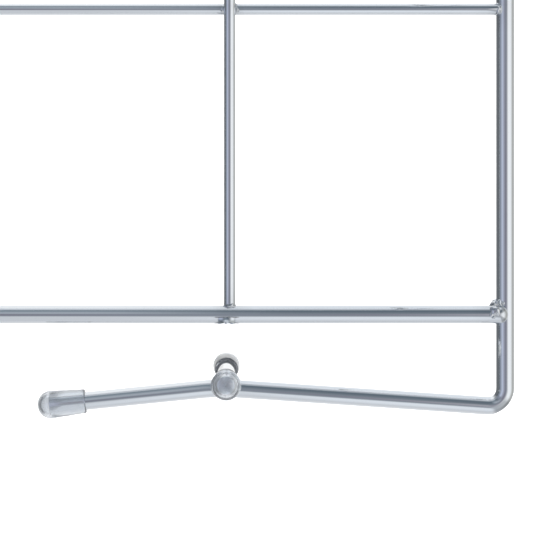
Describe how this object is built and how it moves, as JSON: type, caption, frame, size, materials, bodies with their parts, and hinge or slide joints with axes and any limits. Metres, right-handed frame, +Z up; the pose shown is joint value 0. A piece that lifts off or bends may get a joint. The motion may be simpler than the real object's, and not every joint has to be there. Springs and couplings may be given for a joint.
{
  "type": "hanging file rack",
  "caption": "Over-panel hanging file rack: a welded chrome wire grid with hooks, a forward hoop for hanging folders, braces, low pegs and clear vinyl end caps.",
  "frame": {"origin": "middle of the partition panel's front top edge, where the two hooks rest on it", "axes": "+X to the user's right, +Y through the panel away from the user, +Z up"},
  "size_m": [0.3968, 0.2926, 0.3888],
  "materials": {
    "chrome_wire": "bright chrome plate on drawn steel wire",
    "clear_vinyl": "clear dip-moulded soft PVC"
  },
  "bodies": {
    "root": {"bottom_rail": "chrome_wire", "top_rail": "chrome_wire", "lower_cross_wire": "chrome_wire", "upper_cross_wire": "chrome_wire", "left_grid_wire": "chrome_wire", "middle_grid_wire": "chrome_wire", "right_grid_wire": "chrome_wire", "file_hoop": "chrome_wire", "left_side_wire": "chrome_wire", "left_brace": "chrome_wire", "left_peg": "chrome_wire", "left_foot_cap": "clear_vinyl", "left_hook_cap": "clear_vinyl", "left_peg_front_cap": "clear_vinyl", "left_peg_rear_cap": "clear_vinyl", "right_side_wire": "chrome_wire", "right_brace": "chrome_wire", "right_peg": "chrome_wire", "right_foot_cap": "clear_vinyl", "right_hook_cap": "clear_vinyl", "right_peg_front_cap": "clear_vinyl", "right_peg_rear_cap": "clear_vinyl"}
  },
  "joints": []
}
